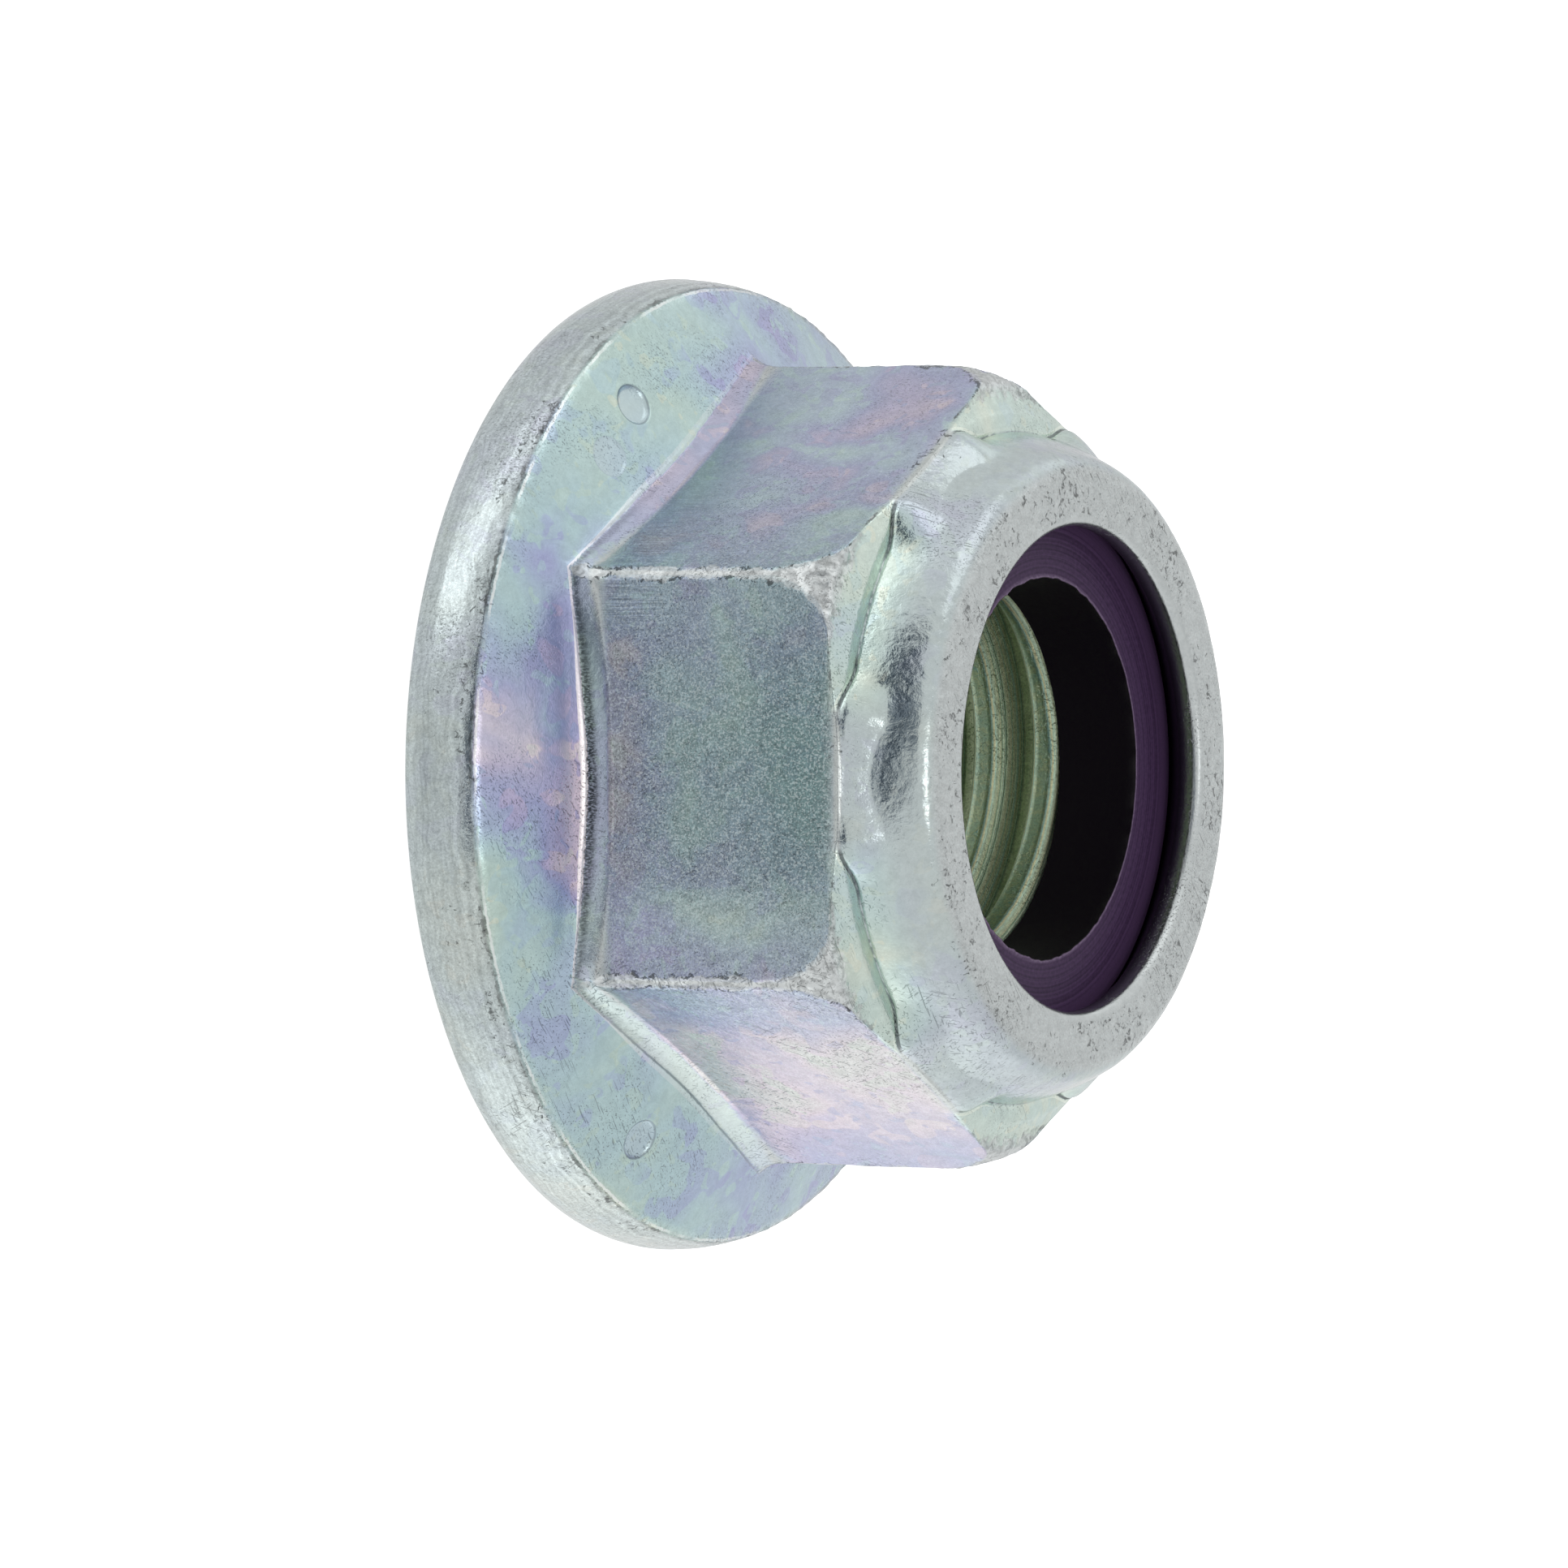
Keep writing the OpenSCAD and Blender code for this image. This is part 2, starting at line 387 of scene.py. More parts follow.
def thread_tree(material):
    """Geometry nodes: the wall of a right-hand threaded hole, from its countersink to its upper end."""
    tree = bpy.data.node_groups.new("thread", "GeometryNodeTree")
    kinds = ("Major radius", "Minor radius", "Pitch", "Start", "Bottom", "Top", "Countersink radius", "Turns")
    kinds = dict.fromkeys(kinds, "NodeSocketFloat") | dict.fromkeys(("Columns", "Rows"), "NodeSocketInt")
    sockets = {}
    for name, kind in kinds.items():
        sockets[name] = tree.interface.new_socket(name=name, in_out="INPUT", socket_type=kind)
    tree.interface.new_socket(name="Geometry", in_out="OUTPUT", socket_type="NodeSocketGeometry")
    given = tree.nodes.new("NodeGroupInput").outputs
    add = partial(add_node, tree)
    counts = {
        "Size X": 1.0,
        "Size Y": 1.0,
        "Vertices X": add(MATH, "ADD", given["Columns"], 1.0),
        "Vertices Y": add(MATH, "ADD", given["Rows"], 1.0),
    }
    grid = add("GeometryNodeMeshGrid", {}, counts)
    place = add("GeometryNodeInputPosition", {})
    turn, level = add("ShaderNodeSeparateXYZ", {}, place, out=slice(2))
    turn = add(MATH, "ADD", turn, 0.5)
    level = add(MATH, "ADD", level, 0.5)
    rise = add(MATH, "ADD", add(MATH, "SUBTRACT", add(MATH, "MULTIPLY", level, given["Turns"]), 1.0), turn)
    free_z = add(MATH, "MULTIPLY_ADD", rise, given["Pitch"], given["Bottom"])
    z = add(MATH, "MINIMUM", add(MATH, "MAXIMUM", free_z, given["Bottom"]), given["Top"])
    above = add(MATH, "SUBTRACT", z, given["Bottom"])
    started = add(MATH, "SUBTRACT", turn, given["Start"])
    phase = add(MATH, "FRACT", add(MATH, "SUBTRACT", add(MATH, "DIVIDE", above, given["Pitch"]), started))

    # The groove of a metric thread: a flat root an eighth of the pitch wide, flanks at 60 degrees
    from_root = add(MATH, "ABSOLUTE", add(MATH, "SUBTRACT", phase, 0.5))
    from_root = add(MATH, "MULTIPLY", from_root, given["Pitch"])
    root_half = add(MATH, "DIVIDE", given["Pitch"], 16.0)
    past_root = add(MATH, "MAXIMUM", add(MATH, "SUBTRACT", from_root, root_half), 0.0)
    fall = add(MATH, "DIVIDE", past_root, math.tan(math.radians(30)))
    flank = add(MATH, "SUBTRACT", given["Major radius"], fall)
    wall = add(MATH, "SMOOTH_MAX", flank, given["Minor radius"], 0.06 * MM)
    sunk = add(MATH, "SUBTRACT", given["Countersink radius"], above)
    to_top = add(MATH, "SUBTRACT", given["Top"], z)
    mouth = add(MATH, "SUBTRACT", add(MATH, "ADD", given["Minor radius"], 0.16 * MM), to_top)
    radius = add(MATH, "MAXIMUM", add(MATH, "MAXIMUM", wall, sunk), mouth)
    angle = add(MATH, "MULTIPLY", turn, math.tau)
    x = add(MATH, "MULTIPLY", radius, add(MATH, "COSINE", angle))
    y = add(MATH, "MULTIPLY", radius, add(MATH, "SINE", angle))
    spot = add("ShaderNodeCombineXYZ", {}, x, y, z)
    moved = add("GeometryNodeSetPosition", {}, {"Geometry": grid, "Position": spot})
    merged = add("GeometryNodeMergeByDistance", {}, {"Geometry": moved, "Distance": 0.002 * MM})
    real = add("GeometryNodeRealizeInstances", {}, merged)
    skin = add("GeometryNodeSetMaterial", {}, {"Geometry": real, "Material": material})
    add("NodeGroupOutput", {}, skin)
    return tree, sockets


def thread_wall(thread, seat, material):
    """The thread's vertices and faces, from its Geometry Nodes."""
    tree, sockets = thread_tree(material)
    turns = math.ceil((seat / thread.pitch + 1) * 2) / 2
    values = {
        "Major radius": thread.major,
        "Minor radius": thread.minor,
        "Pitch": thread.pitch,
        "Start": thread.start,
        "Bottom": 0.0,
        "Top": seat,
        "Countersink radius": thread.countersink,
        "Turns": turns,
        "Columns": thread.columns,
        "Rows": int(turns * thread.rows),
    }
    holder = bpy.data.objects.new("thread", bpy.data.meshes.new("thread"))
    bpy.context.scene.collection.objects.link(holder)
    modifier = holder.modifiers.new("thread", "NODES")
    modifier.node_group = tree
    for name, value in values.items():
        modifier[sockets[name].identifier] = value
    bpy.context.view_layer.update()
    mesh = bpy.data.meshes.new_from_object(holder.evaluated_get(bpy.context.evaluated_depsgraph_get()))
    bpy.data.objects.remove(holder)
    points = np.empty(len(mesh.vertices) * 3)
    mesh.vertices.foreach_get("co", points)
    points = points.reshape(-1, 3)
    faces = [tuple(p.vertices) for p in mesh.polygons]
    bpy.data.meshes.remove(mesh)
    return points, faces


def ring_at(points, level):
    """Indices of the points at one height, in order round the axis."""
    found = np.nonzero(np.abs(points[:, 2] - level) < 0.0005 * MM)[0]
    return found[np.argsort(np.arctan2(points[found, 1], points[found, 0]) % math.tau)]


def stitch(points, first, second):
    """Triangles that close the gap between two rings with any number of points."""
    a = np.arctan2(points[first, 1], points[first, 0]) % math.tau
    b = np.arctan2(points[second, 1], points[second, 0]) % math.tau
    faces = []
    i = j = 0
    while i < len(first) or j < len(second):
        next_a = a[i + 1] if i + 1 < len(first) else a[0] + math.tau if i < len(first) else math.inf
        next_b = b[j + 1] if j + 1 < len(second) else b[0] + math.tau if j < len(second) else math.inf
        here, there = first[i % len(first)], second[j % len(second)]
        if next_a <= next_b:
            faces.append((here, first[(i + 1) % len(first)], there))
            i += 1
        else:
            faces.append((here, second[(j + 1) % len(second)], there))
            j += 1
    return faces


def wobble(points, size, seed):
    """Smooth noise of that size in millimetres at points in millimetres, about -1 to 1."""
    shift = Vector((seed * 7.3, seed * 3.1, seed * 5.7))
    return np.array([noise.noise(Vector(p) / size + shift) for p in points])


def grid_faces(low, high):
    """Quads between rows of vertices and the rows that follow them, closed round the axis."""
    quads = np.stack([low, np.roll(low, -1, 1), np.roll(high, -1, 1), high], 2)
    return [tuple(q) for q in quads.reshape(-1, 4).tolist()]


def new_piece(name, points, faces, marks, material, press=None):
    """Adds an object with its vertex attributes, its faces turned outwards and shaded smooth."""
    mesh = bpy.data.meshes.new(name)
    mesh.from_pydata(points.tolist(), [], faces)
    for key, values in marks.items():
        layer = mesh.attributes.new(key, "FLOAT", "POINT")
        layer.data.foreach_set("value", values.astype(np.float32))
    shell = bmesh.new()
    shell.from_mesh(mesh)
    if press:
        press(shell)
    bmesh.ops.recalc_face_normals(shell, faces=shell.faces)
    for f in shell.faces:
        f.smooth = True
    shell.to_mesh(mesh)
    shell.free()
    mesh.set_sharp_from_angle(angle=math.radians(50))
    mesh.materials.append(material)
    piece = bpy.data.objects.new(name, mesh)
    bpy.context.scene.collection.objects.link(piece)
    return piece


def body_sections(sizes, outline, angles, seat):
    """Rows of (r, z) from the bearing face out over the rim, up the outside and down into the pocket."""
    flange = sizes.flange / MM / 2
    columns = len(angles)

    def turned(points):
        return np.repeat(np.array(points, float)[:, None, :], columns, 1)

    face = [(r, 0) for r in (4.26, 4.6, 5.4, 6.4, 7.4, 8.1, 8.5)]
    face.append((flange - outline.bearing_round[0] - 0.02, 0))
    wide = outline.rim_wide_z
    lower = [(r, wide - z) for r, z in rounded_corner(flange, wide, *outline.bearing_round, 6)[::-1]]
    rise = outline.rim_z - wide
    rim_arc = (outline.rim_draw_in**2 + rise**2) / (2 * outline.rim_draw_in)
    upper = arc((flange - rim_arc, wide), rim_arc, 0, math.degrees(math.asin(rise / rim_arc)), 12)[1:-1]
    along = outline.rows(angles, OUTSIDE_ROWS).T
    lines = np.array([outline.lines(along[:, i], a) for i, a in enumerate(angles)]).transpose(1, 2, 0)
    out = np.array([outline.out(along[:, i], a) for i, a in enumerate(angles)]).T
    outside = np.stack([(out - along) / 2, (out + along) / 2], 2)
    lip, pocket, edge = sizes.lip / MM, sizes.pocket / MM, outline.lip_round
    inside = arc((lip + edge, outline.top - edge), edge, 90, 180, 7)[1:]
    wall_end = outline.top - edge - outline.lip_wall
    inside += [(lip, wall_end + 0.13), (lip + 0.01, wall_end + 0.02), (lip + 0.05, wall_end - 0.04)]
    under_lip = [*np.linspace(lip + 0.14, pocket - 0.05, 4)]
    inside += [(r, wall_end - (r - lip) * outline.lip_slope) for r in under_lip]
    inside += [(pocket, wall_end - (pocket - lip) * outline.lip_slope - 0.05)]
    inside += [(pocket, seat + 0.8), (pocket, seat), (4.6, seat), (4.2, seat)]
    rows = np.concatenate([turned(face + lower + upper), outside, turned(inside)])
    first = len(face + lower + upper)
    return rows, first, first + len(outside), lines


class NUT_OT_body(bpy.types.Operator):
    """Build the zinc plated steel body with its thread"""

    bl_idname = "lock_nut.body"
    bl_label = "Steel body"

    def execute(self, context):
        scene = context.scene
        sizes, thread = scene.nut_sizes, scene.thread_sizes
        seat = scene.ring_sizes.seat / MM
        outline = Outline(sizes)
        angles = column_angles()
        rows, first, last, lines = body_sections(sizes, outline, angles, seat)
        r, z = rows[..., 0], rows[..., 1]
        turn = np.broadcast_to(angles, r.shape)
        points = np.stack([r * np.cos(turn), r * np.sin(turn), z], 2)
        raised, marks = surface_marks(outline, r, z, turn, first, last, lines)
        points = roughen(points, z, outline.top, raised, marks, first, last)
        material = zinc_material(scene.nut_finish, sizes, outline, marks)
        index = np.arange(r.size).reshape(r.shape)
        faces = grid_faces(index[:-1], index[1:])
        points = points.reshape(-1, 3) * MM
        bore, bore_faces = thread_wall(thread, seat * MM, material)
        offset = len(points)
        bottom, top = ring_at(bore, 0.0) + offset, ring_at(bore, seat * MM) + offset
        everything = np.concatenate([points, bore])
        faces += [tuple(i + offset for i in f) for f in bore_faces]
        faces += stitch(everything, index[0], bottom) + stitch(everything, index[-1], top)
        for name, values in marks.items():
            marks[name] = np.append(values, np.full(len(bore), float(name == "bore")))
        press = partial(press_dents, sizes, outline)
        body = new_piece("nut_shell", everything, faces, marks, material, press)
        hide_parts("nut_body")
        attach(body, "root")
        return {"FINISHED"}


# Round dents in the flange: degrees from the front flat's middle, how much further in, and depth's share
DENTS = ((-59, 0.0, 1.0), (-49, 0.18, 0.22), (59, 0.0, 0.9))
DENT_SETBACK = 1.02


def dent_places(outline):
    """Middle in millimetres, normal and depth's share of each dent."""
    slope = math.atan(outline.cone_slope)
    for angle, further_in, share in DENTS:
        r = outline.rim_r - DENT_SETBACK - further_in
        spin = Matrix.Rotation(math.radians(angle), 3, "Z")
        middle = spin @ Vector((r, 0, outline.rim_z + (outline.rim_r - r) * outline.cone_slope))
        yield middle, spin @ Vector((math.sin(slope), 0, math.cos(slope))), share


def press_dents(sizes, outline, shell):
    """Presses the dents into the flange."""
    radius = sizes.dent / MM / 2
    for middle, normal, share in dent_places(outline):
        for reach in (radius + 0.3, radius + 0.16):
            near = []
            for e in shell.edges:
                if all((v.co / MM - middle).length < reach and v.co.z > 1.5 * MM for v in e.verts):
                    near.append(e)
            bmesh.ops.subdivide_edges(shell, edges=near, cuts=1, use_grid_fill=True)
        for v in shell.verts:
            offset = v.co / MM - middle
            if offset.length > radius + 0.3:
                continue
            height = offset.dot(normal)
            across = (offset - height * normal).length
            downhill = -offset.z / radius
            wall = 1 - ramp(across, radius - 0.08, radius + 0.005)
            lip = bump(across, radius + 0.04, 0.04)
            v.co -= normal * sizes.dent_depth * share * (wall * (1 - 0.35 * downhill) - 0.2 * lip)


def surface_marks(outline, r, z, turn, first, last, lines):
    """Distances in millimetres from the body's edges, where its plating differs, and where light and shade
    are painted, at each vertex.
    """
    far = 9.0
    side = outline.fold(turn)
    off = np.abs(np.degrees(side))
    facing = (np.degrees(turn) + 180) % 360 - 180
    v = r * np.sin(turn)
    out_of_flat = r * np.cos(side) - outline.flat
    outside = np.zeros(r.shape)
    outside[first:last] = 1
    inside = np.zeros(r.shape)
    inside[last:] = 1
    above_cone = z - (outline.rim_z + (outline.rim_r - r) * outline.cone_slope)
    reach = outline.foot_reach(off)
    from_foot = np.where(out_of_flat > reach, out_of_flat - reach, -1.5 * above_cone)
    from_foot[:first], from_foot[last:] = far, -far
    from_rim = outline.rim_r - r
    from_rim[:first], from_rim[last:] = z[:first] - outline.rim_z, far
    from_edge, from_crease = np.full(r.shape, far), np.full(r.shape, far)
    from_edge[first:last], from_crease[first:last] = lines
    from_crease[last:] = -far

    # Sides of the nut: the flat at the front, those on both sides of it, and what lies beyond them
    front, upper, lower = bump(facing, 0, 36), bump(facing, -60, 36), bump(facing, 60, 36)
    aside = ramp(np.abs(facing), 68, 85) * (1 - ramp(np.abs(facing), 100, 130))

    # Parts of the body
    on_cone = outside * ramp(from_foot, -0.02, 0.0)
    on_flat = outside * (np.abs(out_of_flat) < 0.03) * ramp(z, 2.6, 2.9) * (1 - ramp(z, 7.35, 7.5))
    on_front = on_flat * front
    on_rim = ramp(r, outline.rim_r - 0.05, outline.rim_r + 0.02) * (z < 1.49)
    on_foot = outside * (from_foot < 0) * (1 - ramp(-from_foot, 0.4, 0.5))
    collar = outside * (1 - ramp(from_crease, -0.02, 0.0))
    annulus = outside * ramp(z, 8.9, 8.99)
    neck = collar * (1 - ramp(z, 7.7, 8.5)) * ramp(off, 8, 16)
    ledge = outside * (from_crease > 0) * ramp(z, 7.3, 7.4) * ramp(off, 10, 12)
    band = outside * bump(z, 7.45, 0.16) * (1 - ramp(off, 10, 13)) * (out_of_flat < 0.02)
    near_foot = on_cone * (1 - ramp(from_foot, 0.1, 1.3))
    creamy = on_cone * front * bump(v, -0.9, 0.9) * ramp(from_foot, 0.6, 1.1)

    # The film's hue, its share, how far it is paled and how far it is darkened
    hue = 0.36 - 0.2 * (neck + ledge + on_rim * lower) + 0.1 * (band + on_cone * aside)
    hue += on_cone * (0.04 * near_foot - 0.1 * lower - 0.12 * upper) + 0.32 * on_foot * upper
    hue += on_cone * front * (0.04 + 0.32 * near_foot * (1 - ramp(v, 1.5, 2.6))) + 0.42 * creamy
    hue += on_flat * (0.2 * upper + lower * (0.48 + 0.03 * (1 - ramp(z, 3, 4.5))))
    hue += on_front * (0.34 * (1 - ramp(z, 2.9, 4.2)) - 0.24 * ramp(v, 1.4, 2.4) - 0.06)
    filmed = on_cone + 0.75 * on_flat + ledge + 0.7 * (neck + on_foot)
    filmed += 0.3 * (collar * (1 - annulus) + on_rim)
    # Paling: a paler film, and on the lower flat and its foot also painted light
    pale = 0.4 * (neck + band) + 0.55 * ledge + 0.3 * on_flat * lower * ramp(z, 3.5, 6)
    pale += on_foot * (0.85 * lower + 0.1 * upper) + 0.45 * creamy + 0.1 * on_cone * aside
    # Darkening: a duller film, and on the front flat also painted shade for the dark it reflects; the upper
    # flat darker towards its foot
    matte = 0.6 + 0.22 * ramp(z, 3.4, 5) + 0.3 * ramp(z, 5, 6.8) - 0.5 * ramp(v, 1.6, 2.6)
    dull = np.clip(on_front * matte, 0, 1.3) + on_flat * upper * (0.45 - 0.43 * ramp(z, 3, 4.8))
    grainy = 0.1 + 0.15 * on_flat + 0.85 * on_front + 0.4 * on_rim + 0.25 * annulus
    pitted = on_rim * (0.35 + 0.3 * (from_rim > -0.4)) + collar * (0.2 + 0.3 * ramp(z, 8.6, 8.9))
    pitted += 0.2 * annulus + 0.55 * band + on_flat * (0.15 + 0.25 * upper * ramp(z, 5, 7))
    raised = (1 - ramp(from_edge, -0.02, 0.01)) * (z < 7.42) * (from_foot < 0) * outside
    return raised, {
        "from_foot": from_foot,
        "from_rim": from_rim,
        "from_edge": from_edge,
        "from_crease": from_crease,
        "front": front,
        "low_foot": lower,
        "mid": 1 - ramp(off, 8, 28),
        "rim": on_rim,
        # Painted shade in the crevice round the ring: the lip's inner wall, its underside and the pocket
        "hidden": inside * (1 - ramp(z, 8.6, 8.85)),
        "bore": np.zeros(r.shape),
        "creased": ramp(off, 10, 12) * (1 - 0.8 * ramp(off, 15, 22)),
        "hue": hue,
        "varied": 0.5 + 0.35 * front * (1 - near_foot) + on_flat * (0.6 * upper + 0.1 * lower),
        "filmed": np.clip(filmed, 0, 1),
        "pale": np.clip(pale, 0, 1),
        "dull": dull,
        "grainy": np.clip(grainy, 0, 1),
        "grooved": on_front * (1 - ramp(v, -3.1, -2.5)) * (1 - ramp(z, 3.5, 4.3)),
        "bright": np.clip(collar * (1 - annulus) + ledge, 0, 1),
        "pitted": np.clip(pitted, 0, 1),
    }


def roughen(points, z, top, raised, marks, first, last):
    """Small unevenness of the forged and barrelled surface, kept inside the nut's own outline."""
    flat_points = points.reshape(-1, 3)
    across = np.roll(points, -1, 1) - np.roll(points, 1, 1)
    along = np.gradient(points, axis=0)
    normal = np.cross(across, along)
    normal /= np.maximum(np.linalg.norm(normal, axis=2, keepdims=True), 1e-9)
    broad = wobble(flat_points, 2.2, 1).reshape(z.shape)
    fine = wobble(flat_points, 0.5, 2).reshape(z.shape)
    nicks = wobble(flat_points, 0.16, 3).reshape(z.shape)
    edge = np.clip(raised + 0.6 * bump(marks["from_rim"], 0, 0.08) + 0.3 * marks["pitted"], 0, 1)
    depth = 0.012 * (broad - 0.6) + 0.004 * (fine - 0.6) + 0.04 * edge * (nicks - 0.4)
    live = np.zeros(z.shape)
    live[first - 10 : last] = 1
    depth = np.minimum(depth, 0) * live * np.clip((top - z) / 0.05, 0, 1)
    return points + normal * depth[..., None]


# The nylon ring


class NUT_OT_ring(bpy.types.Operator):
    """Build the turned nylon ring"""

    bl_idname = "lock_nut.ring"
    bl_label = "Nylon ring"

    def execute(self, context):
        scene = context.scene
        ring, outline = scene.ring_sizes, Outline(scene.nut_sizes)
        hole, outside = ring.hole / MM, ring.outside / MM
        top, seat = ring.top / MM, ring.seat / MM
        turned_top = top - ring.burr / MM
        clamp = scene.nut_sizes.lip / MM + outline.lip_gap / outline.lip_slope
        section = [(hole, z) for z in np.linspace(seat, top - 0.1, 12)]
        section += [(hole - 0.01, top - 0.05), (hole - 0.015, top - 0.01), (hole + 0.005, top)]
        section += [(hole + 0.03, top - 0.005), (hole + 0.07, turned_top)]
        section += [(x, turned_top) for x in np.linspace(hole + 0.16, clamp - 0.03, 10)]
        section += [(clamp + 0.02, turned_top - 0.03)]
        shoulder = outside - 0.02
        section += [(shoulder, top - (shoulder - clamp) * outline.lip_slope), (outside, top - 0.27)]
        section += [(outside, seat + 0.05), (outside - 0.05, seat)]
        section += [(x, seat) for x in np.linspace(4.5, hole + 0.3, 3)]
        columns = 360
        angles = np.linspace(0, math.tau, columns, endpoint=False)
        section = np.array(section)
        r = np.repeat(section[:, :1], columns, 1)
        z = np.repeat(section[:, 1:], columns, 1)
        edge = np.stack([hole * np.cos(angles), hole * np.sin(angles), 0 * angles], 1)
        torn = wobble(edge, 0.22, 5) + 0.6 * wobble(edge, 0.09, 6) + 0.8 * wobble(edge, 1.4, 7)
        at_edge = bump(section[:, 1], top, 0.06) * bump(section[:, 0], hole, 0.05)
        r = r + 0.035 * at_edge[:, None] * torn
        z = z - 0.012 * at_edge[:, None] * (1 + torn)
        z = np.minimum(z, top)
        points = np.stack([r * np.cos(angles), r * np.sin(angles), z], 2).reshape(-1, 3) * MM
        index = np.arange(r.size).reshape(r.shape)
        faces = grid_faces(index, np.roll(index, -1, 0))
        # The hole's wall, painted near black in the material as painted shade
        in_hole = (section[:, 0] < hole + 0.004) * (section[:, 1] < top - 0.005)
        # The ring's outer part under the lip, painted lighter in the material as painted light against the
        # lip's shadow
        under_lip = ramp(section[:, 0], 4.2, 4.7) * (section[:, 1] > seat + 0.5)
        marks = {"burr": at_edge, "hole_wall": in_hole, "under_lip": under_lip}
        marks = {name: np.repeat(values, columns) for name, values in marks.items()}
        insert = new_piece("nylon_insert", points, faces, marks, nylon_material(scene.nut_finish))
        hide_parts("nylon_ring")
        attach(insert, "root")
        return {"FINISHED"}


# Materials


def new_material(name):
    """A new material with an empty node tree."""
    material = bpy.data.materials.new(name)
    material.use_nodes = True
    tree = material.node_tree
    tree.nodes.clear()
    return material, tree


# Noise of the zinc plate: size in millimetres, detail, distortion and roughness
CLOUDS = {
    "ragged": (0.16, 3.0, 0.3, 0.65),
    "wavy": (0.75, 1.0, 0.0, 0.5),
    "blotch": (0.9, 2.0, 0.0, 0.5),
    "patch": (1.9, 1.5, 0.6, 0.5),
    "island": (0.75, 1.5, 0.3, 0.5),
    "thin_island": (0.38, 1.0, 0.5, 0.5),
    "speckle": (0.045, 3.0, 0.0, 0.8),
    "mottle": (0.22, 4.0, 0.6, 0.7),
    "rumple": (0.15, 3.0, 0.8, 0.7),
    "pit": (0.13, 5.0, 0.8, 0.7),
    "region": (1.3, 2.0, 0.0, 0.5),
    "scratched": (1.9, 1.0, 0.0, 0.5),
    "hammer": (0.14, 2.0, 0.0, 0.5),
}
# Hues of the passivate from the thinnest film to the thickest
FILM_HUES = (
    (0.02, "#d3dac9"),
    (0.18, "#bdd2cb"),
    (0.34, "#b6ced2"),
    (0.46, "#afbfd5"),
    (0.58, "#a8acd2"),
    (0.70, "#bcb2d2"),
    (0.82, "#dccbd8"),
    (0.94, "#d2d4d0"),
)
BORE_HUES = (
    (0.28, "#7c8a86"),
    (0.40, "#a2bfa0"),
    (0.48, "#ccc6a0"),
    (0.56, "#94bcb4"),
    (0.66, "#b8c6a6"),
    (0.78, "#dce4c6"),
)
# How fast a pit or a scratch darkens where its noise passes the limit
SHARPNESS = 14.0


